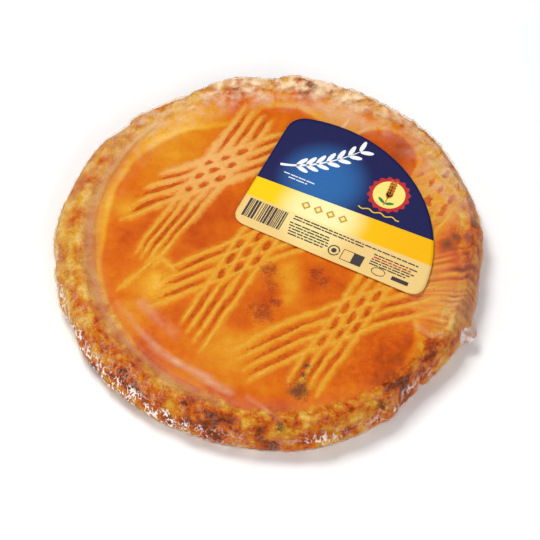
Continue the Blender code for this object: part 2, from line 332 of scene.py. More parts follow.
# Round the rim the broad patches are partly painted shade: lighter on the left and at the back, darker
# at the front and right, following the light from the upper left.
# Patches baked more or less than the rest, some of them painted shade: x, y and reach in millimetres,
# and the change.
BAKE_AND_SHADE_PATCHES = (
    (-46, 50, 17, -0.16), (-30, 12, 19, 0.10), (-62, 4, 14, 0.09), (-79, -5, 9, 0.14),
    (-72, 35, 11, 0.08), (2, 45, 14, 0.02), (50, -55, 21, 0.03), (60, 50, 16, 0.16),
    (78, 28, 12, -0.06), (84, -2, 8, 0.08), (-48, -24, 8, -0.20), (9, -15, 5, -0.24),
    (9.5, -23, 5.5, -0.30), (8.5, -31, 4, -0.24), (-1, -32, 9, 0.12), (-18, -54, 11, -0.16),
    (-4, -48, 8, -0.12), (-66, -6, 8, 0.06), (-50, -22, 9, -0.26), (-52, -4, 7, -0.16),
    (-63, 17, 6, -0.28), (-40, 70, 16, -0.16), (20, -20, 7, 0.14), (-20, -65, 12, -0.10),
    (-26, -48, 8, -0.06), (-38, 20, 8, 0.06), (-10, -45, 8, 0.10), (-58, -67, 12, 0.36),
    (-72, -52, 5, 0.24), (-66, -80, 10, -0.12), (-28, -88, 9, 0.24), (79, -3, 4, 0.42),
    (85, 3, 4.5, 0.40), (91, 10, 4.5, 0.45), (92, 1, 4, 0.35), (86, -12, 8, 0.12),
    (18, 83, 7, 0.42), (-15, 84, 8, 0.34), (48, 73, 7, 0.26), (-86, -4, 6, 0.12),
    (-90, 8, 24, -0.20), (-94, 2, 12, -0.14), (-90, -20, 14, -0.14), (62, -76, 20, 0.28),
    (0, -97, 24, 0.30), (90, -14, 9, 0.28), (-60, -38, 8, -0.20), (-48, -83, 9, 0.06),
    (-45, -64, 9, -0.12), (-60, -48, 7, -0.10), (-30, -74, 8, -0.10), (2, -82, 14, -0.10),
    (-8, -77, 8, -0.14), (16, -86, 13, -0.12), (38, -80, 9, -0.10), (-14, 70, 8, 0.16),
    (-8, -58, 12, -0.06), (-60, 68, 25, -0.10), (40, 82, 25, -0.06),
)
# Spots that are burnt, and spots where the egg skin has wrinkled: x, y and reach.
BURNT_SPOTS = ((13, -77, 5), (16.5, -64.5, 1.7), (14.8, -69, 2), (50, -84, 3), (5, -95, 2))
WRINKLED_SPOTS = ((0, -17, 5), (1, -24, 3.5), (-3, -38, 6), (3, -33, 3.5), (24, -23, 3), (21, -18, 4))
# Patches of beige, and of dark crumb beside that of the rim: x, y, reach and strength.
BEIGE_PATCHES = ((80, 26, 17, 0.5), (33, 70, 14, 0.5), (84, -32, 10, 0.5))
MOTTLED_PATCHES = ((86, 4, 9, 0.5), (45, -62, 26, 0.22), (-50, -45, 22, 0.1))
# Where the fork's lines are palest: x, y and reach.
PALE_SPOT = (-27, 43, 26)
# Angle and spread in degrees: where the rim starts further out and further in, where the egg
# wash ends without a pale lip, and where the rim is crumbly.
RIM_STARTS_OUT = (292.0, 34.0)
RIM_STARTS_IN = (228.0, 20.0)
NO_PALE_LIP = (210.0, 30.0)
CRUMBLY_FRONT = (280.0, 75.0)

cake_low, cake_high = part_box("wrapped_cake")
form_centre = 0.5 * (cake_low + cake_high)


def smooth_step(value, low, high):
    """0 below low, 1 above high, and the S curve 3t2 - 2t3 between them."""
    t = np.clip((value - low) / (high - low), 0.0, 1.0)
    return t * t * (3.0 - 2.0 * t)


def angle_between(a, b):
    """Turn from b to a in degrees, from -180 to 180."""
    return (a - b + 180.0) % 360.0 - 180.0


def bell(offset, width):
    """1 where the offset is 0, falling off on either side of that by the width."""
    return np.exp(-(offset / width) ** 2)


def near_bearing(angle, middle, spread):
    """1 at a bearing from the cake's middle, falling off either way by a spread in degrees."""
    return bell(angle_between(angle, middle), spread)


def near_place(x, y, place_x, place_y, reach):
    """1 at a place on the cake, falling off round it by the reach, all three in millimetres."""
    return np.exp(-((x / MM - place_x) ** 2 + (y / MM - place_y) ** 2) / reach ** 2)


def side_profile():
    """Radius and height of the round form, from the top's centre out over the rim and down."""
    r = CAKE_RADIUS
    top = INNER_TOP_HEIGHT
    high = CAKE_HEIGHT
    return (
        (0.0, top + 0.5 * MM),
        (r - 78.0 * MM, top + 0.5 * MM),
        (r - 56.0 * MM, top + 0.35 * MM),
        (r - 38.0 * MM, top + 0.1 * MM),
        (r - 26.0 * MM, top),
        (r - 23.0 * MM, top - 0.2 * MM),
        (MOAT_RADIUS, MOAT_HEIGHT),
        (r - 17.5 * MM, MOAT_HEIGHT + 0.5 * MM),
        (r - 15.5 * MM, high - 0.9 * MM),
        (r - 13.0 * MM, high - 0.1 * MM),
        (r - 10.2 * MM, high - 0.2 * MM),
        (r - 7.5 * MM, high - 1.6 * MM),
        (r - 4.8 * MM, high - 4.0 * MM),
        (r - 2.4 * MM, high - 7.6 * MM),
        (r - 0.7 * MM, high - 12.0 * MM),
        (r, high - 16.5 * MM),
        (r - 0.7 * MM, 4.2 * MM),
        (r - 3.0 * MM, 1.3 * MM),
        (r - FLAT_BASE_INSET, 0.0),
    )


def profile_rows(rows, inner_share):
    """Radius and height at steps down the profile, its corners eased by running means.

    The steps are even on the top inside the rim, which takes the inner share of them, and even
    again from there to the base.
    """
    points = np.array(side_profile())
    along = np.concatenate(([0.0], np.cumsum(np.hypot(*np.diff(points, axis=0).T))))
    steps = np.linspace(0.0, 1.0, rows - UNDERSIDE_ROWS)
    places = np.interp(steps, (0.0, inner_share, 1.0), (0.0, INNER_RADIUS, along[-1]))
    line = np.stack([np.interp(places, along, points[:, axis]) for axis in (0, 1)])
    for _ in range(2):
        line[:, 1:-1] = 0.25 * (line[:, :-2] + line[:, 2:]) + 0.5 * line[:, 1:-1]
    inwards = np.linspace(line[0, -1], 0.0, UNDERSIDE_ROWS + 1)[1:]
    return np.concatenate((line[0], inwards)), np.concatenate((line[1], np.zeros(UNDERSIDE_ROWS)))


def wave_sum(angle, height, phases):
    """Waves round the cake added up, within about -1 to 1, leaning either way as they rise."""
    total = np.zeros_like(angle)
    for order, (turns, phase) in enumerate(zip(RIM_WAVES, phases)):
        lean = (-1) ** order * height / LUMP_RISE
        total += np.cos(np.radians(angle) * turns + phase + lean) / (1.0 + 0.25 * order)
    return total / 2.2


def off_deep_side(angle):
    """0 in the middle of the moat's deep side, towards 1 round the far side of the cake."""
    return 1.0 - near_bearing(angle, *DEEP_SIDE)


def moat_warp(radius, angle):
    """How far a point moves out with the moat: most at its radius, none far in or at the edge."""
    inner = np.clip((radius - STILL_RADIUS) / (MOAT_RADIUS - STILL_RADIUS), 0.0, 1.0)
    outer = np.clip((CAKE_RADIUS - radius) / (CAKE_RADIUS - MOAT_RADIUS), 0.0, 1.0)
    return MOAT_SHIFT * off_deep_side(angle) * np.minimum(inner, outer)


def swell(angle):
    """How far the outline stands out of the plain round at an angle in degrees."""
    total = np.zeros_like(angle)
    for centre, spread, size in OUTLINE_SWELLS:
        total += size * MM * near_bearing(angle, centre, spread)
    return total


def round_form(rows, columns, inner_share):
    """The lumpy round on a grid of rows down the profile by columns round it: points and ring.

    A point is the profile's radius and height, with the moat, outline and lumps added to them,
    turned by the column's angle. The ring is the profile's own radius, before any of that.
    """
    rng = random.Random(LUMP_SEED)
    crest_phases = [rng.uniform(0.0, math.tau) for _ in RIM_WAVES]
    side_phases = [rng.uniform(0.0, math.tau) for _ in RIM_WAVES]
    turns = np.linspace(-180.0, 180.0, columns, endpoint=False)
    profile_radius, profile_height = profile_rows(rows, inner_share)
    ring, angle = np.meshgrid(profile_radius, turns, indexing="ij")
    z = np.repeat(profile_height[:, None], columns, axis=1)
    on_top = z > 0.5 * CAKE_HEIGHT
    outwards = np.clip((ring / CAKE_RADIUS - SWELL_START) / (1.0 - SWELL_START), 0.0, 1.0) ** SWELL_POWER
    on_rim = bell(ring - RIM_RADIUS, RIM_WIDTH) * on_top
    in_moat = bell(ring - MOAT_RADIUS, MOAT_WIDTH) * on_top
    z = z + MOAT_FILL * in_moat * off_deep_side(angle)
    radius = ring + moat_warp(ring, angle) * on_top
    radius = radius + swell(angle) * outwards
    side_lump = SIDE_LUMP * wave_sum(angle, z, side_phases) * outwards
    radius = radius + side_lump * np.clip(z / BASE_EASE, 0.0, 1.0)
    z = z + on_rim * RIM_LUMP * wave_sum(angle, radius, crest_phases)
    x = radius * np.cos(np.radians(angle))
    y = radius * np.sin(np.radians(angle))
    x = x - 0.5 * (x.min() + x.max()) + form_centre.x
    y = y - 0.5 * (y.min() + y.max()) + form_centre.y
    return np.stack((x, y, z), axis=-1), ring


def outward_normals(points):
    """Unit normals of a closed round grid: the step down its rows crossed with that round it."""
    down = np.gradient(points, axis=0)
    around = np.roll(points, -1, axis=1) - np.roll(points, 1, axis=1)
    normals = np.cross(down, around)
    normals[0] = (0.0, 0.0, 1.0)
    normals[-1] = (0.0, 0.0, -1.0)
    return normals / np.linalg.norm(normals, axis=-1, keepdims=True)


def lattice_noise(points, cell, seed):
    """Lumps from 0 to 1: random values on a cubic lattice, blended between its corners by S curves."""
    place = points / cell + math.ceil(1.1 * CAKE_RADIUS / cell)
    whole = np.floor(place).astype(int)
    share = place - whole
    share = share * share * (3.0 - 2.0 * share)
    table_of_values = np.random.default_rng(seed).random(whole.reshape(-1, 3).max(axis=0) + 2)
    total = np.zeros(points.shape[:-1])
    for corner in np.ndindex(2, 2, 2):
        weight = np.prod(np.where(np.array(corner, dtype=bool), share, 1.0 - share), axis=-1)
        total += weight * table_of_values[tuple(np.moveaxis(whole + corner, -1, 0))]
    return total


def lumps(points, cell, seed):
    """Rounded lumps with narrow clefts between them: the fold of the lattice noise about its mean."""
    return np.abs(2.0 * lattice_noise(points, cell, seed) - 1.0)


def band_run(band):
    """A band's start, the run from there to its end, and the run's length and direction."""
    start, end = np.array(band[:2]) * MM
    length = np.linalg.norm(end - start)
    return start, end - start, length, (end - start) / length


def place_in_band(band, x, y):
    """Share along a band, gaps across it from its left line, a gap's width, and its length."""
    bend, start_width, end_width, _, tines = band[2:]
    start, _, length, along = band_run(band)
    t = ((x - start[0]) * along[0] + (y - start[1]) * along[1]) / length
    arch = 4.0 * bend * MM * t * (1.0 - t)
    across = (y - start[1]) * along[0] - (x - start[0]) * along[1] - arch
    gap = (start_width + (end_width - start_width) * np.clip(t, 0.0, 1.0)) * MM / max(tines - 1, 1)
    return t, 0.5 * (tines - 1) - across / gap, gap, length


def inside_tines(band, x, y):
    """How far points are inside a band's pale lines, in metres: positive in them, negative off them."""
    late_start, tines = band[5:]
    t, gaps, gap, length = place_in_band(band, x, y)
    nearest = np.clip(np.round(gaps), 0, tines - 1)
    first = (1.0 - nearest / max(tines - 1, 1)) * late_start * MM / length
    to_end = np.minimum(t - first, 1.0 - t) * length
    taper = np.sqrt(np.clip(to_end / TINE_TAPER, 0.0, 1.0))
    return np.minimum(0.5 * TINE_WIDTH * taper - np.abs(gaps - nearest) * gap, to_end)


def band_line(band, share):
    """Points along a line of a band: the share 0 to 1 is across it, from its left to its right."""
    bend, start_width, end_width, late_start, _ = band[2:]
    start, run, length, along = band_run(band)
    left = np.array((-along[1], along[0]))
    first = (1.0 - share) * late_start * MM / length
    t = np.linspace(first, 1.0, SAMPLES_ALONG)[:, None]
    width = (start_width + (end_width - start_width) * t) * MM
    arch = 4.0 * bend * MM * t * (1.0 - t)
    return start + run * t + left * (arch + (0.5 - share) * width)


def kept_run(start, end):
    """Whether a run counts: a short one where bands cross is dark in one band's direction only."""
    run = end - start
    length = np.linalg.norm(run)
    steep = run[1] > SLOT_STEEPNESS * run[0]
    far_cross = start[1] > FAR_CROSS
    return length > SHORTEST_SLOT and (length >= SHORT_SLOT or steep != far_cross)


def slot_runs():
    """Ends of each dark slot that the tines leave: between two lines, broken where bands cross."""
    runs = []
    for band in BANDS:
        tines = band[-1]
        for gap in range(tines - 1):
            points = band_line(band, (gap + 0.5) / (tines - 1))
            angle = np.degrees(np.arctan2(points[:, 1], points[:, 0]))
            keep = np.hypot(points[:, 0], points[:, 1]) < SCORED_RADIUS + moat_warp(SCORED_RADIUS, angle)
            for other in BANDS:
                if other is not band:
                    keep &= inside_tines(other, points[:, 0], points[:, 1]) < 0.14 * TINE_WIDTH
            edges = np.flatnonzero(np.diff(np.concatenate(([0], keep.astype(int), [0]))))
            runs += [(points[a], points[b - 1]) for a, b in zip(edges[::2], edges[1::2])]
    return [run for run in runs if kept_run(*run)]


def inside_slots(x, y, runs):
    """How deep points are in the dark slots, from 1 on a slot's middle to 0 at its edge and off it."""
    deepest = np.zeros_like(x)
    rng = random.Random(SLOT_SEED)
    for start, end in runs:
        run = end - start
        length = np.linalg.norm(run)
        short = length < SHORT_SLOT
        stretch, swelling = SHORT_SLOT_SWELLS if short else (1.0, 1.0)
        from_middle = np.stack((x, y), axis=-1) - 0.5 * (start + end)
        along = from_middle @ run / length / (0.5 * length * stretch)
        across = from_middle @ np.array((-run[1], run[0])) / length / (0.5 * SLOT_WIDTH * swelling)
        strength = rng.uniform(*SLOT_STRENGTHS) * (SHORT_SLOT_SHARE if short else 1.0)
        deepest = np.maximum(deepest, strength * (1.0 - np.hypot(along, across)))
    return deepest


def beyond_glaze(x, y):
    """How far points lie outside the egg wash's uneven edge, negative inside it."""
    angles, radii = np.array(GLAZE_EDGE, dtype=float).T
    angle = np.degrees(np.arctan2(y, x)) % 360.0
    return np.hypot(x, y) - np.interp(angle, angles, radii, period=360.0) * MM


def patches(x, y, table):
    """The sum of a table's round patches, each with its own strength at its middle."""
    total = np.zeros_like(x)
    for place_x, place_y, reach, strength in table:
        total += strength * near_place(x, y, place_x, place_y, reach)
    return total


def spots(x, y, table):
    """The strongest of a table's round spots, each 1 at its middle."""
    return np.max([near_place(x, y, *spot) for spot in table], axis=0)


def smooth_piece(name, points, faces):
    """A new object from lists of points and faces, shaded smooth."""
    mesh = bpy.data.meshes.new(name)
    mesh.from_pydata(points, [], faces)
    mesh.shade_smooth()
    return add(name, mesh)


def closed_round(name, points):
    """A closed mesh from a round grid whose first and last rows are single points."""
    rows, columns, _ = points.shape
    body = points[1:-1].reshape(-1, 3)
    ends = np.stack((points[0, 0], points[-1, 0]))
    index = np.arange((rows - 2) * columns).reshape(rows - 2, columns)
    beside = np.roll(index, -1, axis=1)
    quads = np.stack((index[:-1], index[1:], beside[1:], beside[:-1]), axis=-1).reshape(-1, 4)
    top = np.full(columns, len(body))
    bottom = top + 1
    caps = np.concatenate((
        np.stack((top, index[0], beside[0]), axis=-1),
        np.stack((index[-1], bottom, beside[-1]), axis=-1),
    ))
    return smooth_piece(name, np.concatenate((body, ends)).tolist(), quads.tolist() + caps.tolist())


def store(item, name, grid):
    """Keep a grid of values on the points of a closed round, for its material."""
    values = np.concatenate((grid[1:-1].ravel(), (grid[0, 0], grid[-1, 0])))
    layer = item.data.attributes.new(name, "FLOAT", "POINT")
    layer.data.foreach_set("value", values.astype(np.float32))


# The film's gathered end pulls folds across the rim beside it: where they spread from, where
# they are deepest, and how far they reach along x and y.
PLEAT_ORIGIN = (0.0 * MM, -28.0 * MM)
PLEAT_MIDDLE = (83.0 * MM, -26.0 * MM)
PLEAT_REACH = (16.0 * MM, 18.0 * MM)
PLEATS_A_RADIAN = 150.0
PLEAT_DEPTH = 0.35 * MM


def near_tail(x, y):
    """1 in the middle of the pleats, falling off in an oval about it."""
    along = (x - PLEAT_MIDDLE[0]) / PLEAT_REACH[0]
    across = (y - PLEAT_MIDDLE[1]) / PLEAT_REACH[1]
    return np.exp(-(along ** 2 + across ** 2))


def pleats(x, y):
    """Folds that spread from a point: ridges in the angle about it, uneven along their length."""
    bearing = np.arctan2(y - PLEAT_ORIGIN[1], x - PLEAT_ORIGIN[0])
    uneven = 0.55 + 0.3 * np.cos(x / (4.0 * MM) + 31.0 * bearing)
    uneven = uneven + 0.3 * np.cos(x / (7.0 * MM) - 47.0 * bearing)
    folds = np.cos(PLEATS_A_RADIAN * bearing + 2.2 * np.sin(23.0 * bearing))
    return folds * uneven * near_tail(x, y)


# The cake lies a little under the film. Clods are the rim's big lumps and crumbs its small ones,
# each with the depth of the clefts between them, and no line runs quite straight.
UNDER_FILM = 0.2 * MM
CLOD_SIZES = (9.0 * MM, 5.0 * MM)
CLOD_DEPTHS = (1.1 * MM, 0.8 * MM)
CRUMB_SIZES = (3.6 * MM, 2.2 * MM)
CRUMB_DEPTHS = (0.6 * MM, 0.35 * MM)
GLAZE_DEPTH = 0.3 * MM
WANDER_SIZES = (13.0 * MM, 5.0 * MM)
WANDER_REACH = (1.5 * MM, 0.9 * MM)
LIP_OUT = 1.6 * MM
LIP_WIDTH = 1.8 * MM
# How far each part is baked, from raw at 0 to brown at 1, and how much paler the wash's lip is.
GLAZED_BAKE = 0.60
BARE_BAKE = 0.43
RIM_BAKE = 0.29
LIP_PALER = 0.2
# Seeds of the lattice noises.
CLOD_SEED = 10
CRUMB_SEED = 11
DRAWN_SEEDS = (51, 56)
RIM_SEED = 61
LIP_SEED = 71


def clods(points, ring):
    """Depth of the clefts between the rim's big lumps, which the film follows too."""
    out_on_rim = smooth_step(ring, MOAT_RADIUS, MOAT_RADIUS + 6.0 * MM)
    total = sum(
        depth * (1.0 - lumps(points, size, CLOD_SEED + 7 * order))
        for order, (size, depth) in enumerate(zip(CLOD_SIZES, CLOD_DEPTHS))
    )
    return total * out_on_rim * smooth_step(points[..., 2], 0.0, BASE_EASE)


def wandering(points, seed):
    """A hand's unsteadiness in metres, to be added to where a line runs."""
    return sum(
        reach * (lattice_noise(points, size, seed + order) - 0.5)
        for order, (size, reach) in enumerate(zip(WANDER_SIZES, WANDER_REACH))
    )


cake_points, cake_ring = round_form(CAKE_ROWS, CAKE_COLUMNS, CAKE_INNER_SHARE)
cake_normals = outward_normals(cake_points)
x, y, z = np.moveaxis(cake_points, -1, 0)
on_top = smooth_step(z, 0.55 * CAKE_HEIGHT, 0.75 * CAKE_HEIGHT)
angle = np.degrees(np.arctan2(y, x))
further_out = 2.8 * near_bearing(angle, *RIM_STARTS_OUT) - 2.2 * near_bearing(angle, *RIM_STARTS_IN)
rim_start = MOAT_RADIUS + further_out * MM + 2.5 * wandering(cake_points, RIM_SEED)
on_rim = np.maximum(smooth_step(cake_ring - rim_start, -1.0 * MM, 2.0 * MM), 1.0 - on_top)
off_base = smooth_step(z, 0.0, 2.0 * MM)
crumb = sum(
    depth * (1.0 - lumps(cake_points, size, CRUMB_SEED + order))
    for order, (size, depth) in enumerate(zip(CRUMB_SIZES, CRUMB_DEPTHS))
)
inner = (1.0 - on_rim) * on_top
drawn_x = x + wandering(cake_points, DRAWN_SEEDS[0])
drawn_y = y + wandering(cake_points, DRAWN_SEEDS[1])
beyond = beyond_glaze(drawn_x, drawn_y)
in_glaze = smooth_step(-beyond, -1.0 * MM, 1.0 * MM) * inner
broken = smooth_step(lattice_noise(cake_points, 15.0 * MM, LIP_SEED), 0.3, 0.7)
pale_lip = bell(beyond - LIP_OUT, LIP_WIDTH) * inner * (0.15 + 0.85 * broken)
pale_lip = pale_lip * (1.0 - 0.8 * near_bearing(angle, *NO_PALE_LIP))
tines = np.max([inside_tines(band, drawn_x, drawn_y) for band in BANDS], axis=0)
slots = inside_slots(drawn_x, drawn_y, slot_runs()) * inner
slots = np.maximum(slots, inside_slots(drawn_x, drawn_y, np.array(RIM_SLOTS) * MM))
on_tine = smooth_step(tines, -0.4 * MM, 0.6 * MM) * inner
big_clefts = clods(cake_points, cake_ring)
depth = UNDER_FILM + big_clefts
depth = depth + crumb * (0.12 + 0.88 * on_rim) * (0.1 + 0.9 * off_base) * (0.5 + 0.5 * on_top)
depth = depth + GLAZE_DEPTH * (1.0 - on_tine) * inner + SLOT_DEPTH * np.sqrt(slots)
fold = pleats(x, y)
depth = depth - PLEAT_DEPTH * fold * on_top
cake = closed_round("cake", cake_points - cake_normals * depth[..., None])

bare = BARE_BAKE * inner + RIM_BAKE * (1.0 - inner) - LIP_PALER * pale_lip
# The bake level also carries the painted shade of the rim's patches.
bake = GLAZED_BAKE * in_glaze + bare * (1.0 - in_glaze) + patches(x, y, BAKE_AND_SHADE_PATCHES)
store(cake, "bake", bake)
store(cake, "rim", on_rim)
store(cake, "tine_mm", np.where(inner > 0.5, tines / MM, -5.0))
store(cake, "slot", slots)
store(cake, "glaze", in_glaze)
store(cake, "burnt", spots(x, y, BURNT_SPOTS) * on_top)
store(cake, "wrinkled", spots(x, y, WRINKLED_SPOTS))
store(cake, "fold", fold)
# How deep each point lies in the rim's clefts, for the painted shade there.
store(cake, "cleft", (big_clefts + crumb) / (sum(CLOD_DEPTHS) + sum(CRUMB_DEPTHS)))
crumbly = on_rim * (0.4 + 0.6 * near_bearing(angle, *CRUMBLY_FRONT))
store(cake, "grain", np.maximum(crumbly, patches(x, y, MOTTLED_PATCHES)))
store(cake, "pallor", near_place(x, y, *PALE_SPOT))
store(cake, "beige", patches(x, y, BEIGE_PATCHES) * (1.0 - in_glaze))

crust = Finish("baked_crust")
rim = crust.attribute("rim")
tine = crust.attribute("tine_mm")
slot = crust.attribute("slot")
glaze = crust.attribute("glaze")
broad = crust.noise(9.0 * MM, detail=2.0)
middle = crust.noise(3.2 * MM, detail=3.0, shift=3.0)
fine = crust.noise(0.9 * MM, detail=3.0, roughness=0.6, shift=7.0)
level = crust.attribute("bake")
grain = crust.attribute("grain")
level = level + (broad - 0.5) * (0.35 + 1.4 * rim) + rim * 0.01 + grain * 0.08
level = level + (middle - 0.5) * (0.09 + 1.15 * grain)
level = level + (fine - 0.5) * (0.08 + 0.60 * grain)
# Painted shade and light along the film's folds: the crust is darker in their furrows and paler on their
# ridges.
level = level - crust.attribute("fold") * 0.5
# The rim is painted darker in its clefts and paler on its lumps: painted shade.
level = level + (crust.attribute("cleft") - 0.6) * 0.7 * rim
colour = crust.ramp(
    level,
    (0.00, linear(240, 192, 96)),
    (0.20, linear(230, 164, 44)),
    (0.40, linear(219, 136, 24)),
    (0.58, linear(214, 104, 10)),
    (0.72, linear(196, 78, 8)),
    (0.86, linear(158, 66, 10)),
    (1.00, linear(120, 52, 12)),
)
colour = crust.mix(crust.attribute("beige"), colour, linear(224, 168, 106))
edge_noise = (middle - 0.5) * 3.6 + (fine - 0.5) * 2.6
in_band = (tine + edge_noise).step(-1.8, -0.4)
on_line = (tine + edge_noise).step(-0.6, 0.4)
band_stops = ((0.35, linear(228, 156, 52)), (0.65, linear(216, 122, 22)))
line_stops = ((0.35, linear(228, 164, 48)), (0.65, linear(214, 132, 18)))
band_colour = crust.ramp(middle * 0.5 + fine * 0.5, *band_stops)
line_colour = crust.ramp(broad * 0.5 + fine * 0.5, *line_stops)
# The middle of each raised pale line is painted paler still, in patches: a painted highlight on the
# ridge tops.
crest_highlight = (tine + (middle - 0.5) * 1.6 + (fine - 0.5) * 1.4).step(0.5, 1.4)
pallor = crust.attribute("pallor")
crest_highlight_share = crest_highlight * (broad.step(0.35, 0.6) * 0.55 + 0.1)
line_colour = crust.mix(crest_highlight_share, line_colour, linear(238, 188, 82))
band_colour = crust.mix(pallor * 0.8, band_colour, linear(230, 158, 88))
line_colour = crust.mix(pallor * 0.7, line_colour, linear(238, 182, 118))
colour = crust.mix(in_band * (0.3 + 0.5 * pallor), colour, band_colour)
colour = crust.mix(on_line * 0.9, colour, line_colour)
in_slot = (slot + (fine - 0.5) * 0.7).step(0.04, 0.30)
slot_colour = crust.mix(middle.step(0.35, 0.65), linear(210, 98, 20), linear(180, 70, 12))
colour = crust.mix(in_slot * 0.9, colour, slot_colour)
wrinkled_skin = crust.attribute("wrinkled")
browned = (wrinkled_skin + (middle - 0.5) * 1.4 + (fine - 0.5) * 1.2).step(0.3, 1.0)
colour = crust.mix(browned * 0.7, colour, linear(150, 54, 14))
veins = crust.noise(3.4 * MM, detail=1.0, shift=12.0, stretch=(1.0, 1.8, 1.0))
vein = 1.0 - (abs(veins - 0.5) * 12.0).step(0.1, 1.0)
colour = crust.mix(vein * (wrinkled_skin * 1.5 - 0.3).most(0.0) * 0.18, colour, linear(228, 150, 92))
spot = (crust.attribute("burnt") + (middle - 0.5) * 0.6 + (fine - 0.5) * 1.5).step(0.15, 1.0)
colour = crust.mix(spot * 0.9, colour, linear(104, 62, 40))
height = fine * 0.35 + middle * 0.65 + vein * wrinkled_skin * 0.3
crust_normal = crust.bump(height * (0.15 + 0.85 * rim), 3.0 * MM)
crust_surface = crust.opaque(colour, 0.65 - 0.2 * glaze, 0.05, crust_normal)
cake.data.materials.append(crust.end(crust_surface))
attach(cake, "root")

# The film
# A clear shrink film drawn tight over the whole cake. It spans the moat and the scored slots,
# puckers in fine folds round the side, and its gathered end stands out at the front right.
TAIL_ANGLE = -24.5
TAIL_SPREAD = 3.0
TAIL_LENGTH = 3.8 * MM
TAIL_HEIGHT = 9.0 * MM
TAIL_THICKNESS = 4.5 * MM
FILM_ROWS = 110
FILM_COLUMNS = 880
FILM_INNER_SHARE = 0.35
MOAT_SPAN = 1.7 * MM
MOAT_SPAN_WIDTH = 5.5 * MM
PUCKER_DEPTH = 0.15 * MM
PUCKERS_ROUND = 140
PUCKER_SEED = 31
CREASE_SEED = 41
SIDE_START = 0.9 * CAKE_RADIUS
RIPPLES_A_RADIAN = 250.0
FILM_IOR = 1.45
MOST_SHINE = 0.12

# Creases that stand up from the film, each with a painted highlight along it: points in millimetres,
# height, half width and the highlight's strength.
CREASES_WITH_HIGHLIGHTS = (
    (((-66, -34), (-58, -45), (-48, -57)), 0.1, 1.5, 0.3),
    (((-50, -55), (-45, -60), (-33, -67.5), (-24, -74), (-16, -79)), 0.2, 1.5, 1.0),
    (((-56, -33), (-46, -44), (-40, -50)), 0.1, 2.0, 0.25),
    (((-46, -58.5), (-33, -67), (-24, -73.5), (-18, -77.5)), 0.1, 0.5, 1.0),
    (((-9, -81), (4, -91)), 0.1, 1.2, 0.45),
    (((34, 61), (37.7, 66.6), (44.9, 79.4)), 0.2, 1.0, 1.0),
    (((42, 59), (48, 63), (56, 66)), 0.1, 0.8, 0.6),
    (((13, 73), (16, 82), (21, 89)), 0.1, 0.7, 0.6),
    (((64, -45), (70, -50), (76, -49)), 0.1, 1.2, 0.6),
)
# Where glints are painted on the puckers, as if they caught the light: angle, spread in degrees and
# strength.
SPARKLES = (
    (236, 18, 1.3), (203, 20, 0.9), (175, 16, 0.5), (283, 5, 0.8), (308, 11, 0.65), (345, 8, 0.35),
)
# The line along which a pinkish-brown reflection is painted on the film, where it leaves the moat.
MOAT_REFLECTION_LINE = (
    (-22, -83), (-43, -71.5), (-60, -56), (-72, -39), (-78, -16), (-80, 5),
    (-78, 20), (-74, 33), (-68, 44), (-61, 55), (-52, 64),
)
MOAT_REFLECTION_WIDTH = 2.0 * MM
# Angle and spread in degrees: where a pinkish-brown reflection is painted on the film over the moat,
# most and a little, where a pale glare is painted on the far side's film, and where a pale reflection is
# painted on the film's lowest part.
MOAT_REFLECTION_SIDE = (182.0, 55.0)
MOAT_REFLECTION_LEFT = (236.0, 17.0)
FAR_GLARE_SIDE = (80.0, 50.0)
SKIRT_REFLECTION = (262.0, 42.0)
# Where the far side's film has no painted glare after all: x, y and reach in millimetres.
GLARE_FREE_SPOT = (58, 51, 14)


def to_line(x, y, line):
    """Distance from points to a line of straight runs, in metres."""
    nearest = np.full(x.shape, np.inf)
    for a, b in zip(line[:-1], line[1:]):
        a = np.array(a) * MM
        run = np.array(b) * MM - a
        share = np.clip(((x - a[0]) * run[0] + (y - a[1]) * run[1]) / (run @ run), 0.0, 1.0)
        nearest = np.minimum(nearest, np.hypot(x - a[0] - share * run[0], y - a[1] - share * run[1]))
    return nearest


film_points, film_ring = round_form(FILM_ROWS, FILM_COLUMNS, FILM_INNER_SHARE)
film_normals = outward_normals(film_points)
film_points = film_points - film_normals * clods(film_points, film_ring)[..., None]
x, y, z = np.moveaxis(film_points, -1, 0)
angle = np.degrees(np.arctan2(y, x))
film_on_top = smooth_step(z, 0.5 * CAKE_HEIGHT, 0.8 * CAKE_HEIGHT)
off_base = smooth_step(z, 0.0, 2.5 * MM)
pucker_noise = lattice_noise(film_points * (1.0, 1.0, 0.35), 6.0 * MM, PUCKER_SEED)
pucker = np.sin(np.radians(angle) * PUCKERS_ROUND + 9.0 * pucker_noise)
outer = smooth_step(film_ring, CAKE_RADIUS - 17.0 * MM, CAKE_RADIUS - 8.0 * MM) * off_base
proud = PUCKER_DEPTH * pucker * outer * (0.3 + 1.2 * pucker_noise)
span = bell(film_ring - MOAT_RADIUS, MOAT_SPAN_WIDTH) * film_on_top
proud = proud + MOAT_SPAN * span * (1.0 - 0.6 * off_deep_side(angle))
proud = proud + PLEAT_DEPTH * pleats(x, y) * film_on_top
lift = 0.25 * near_tail(x, y)
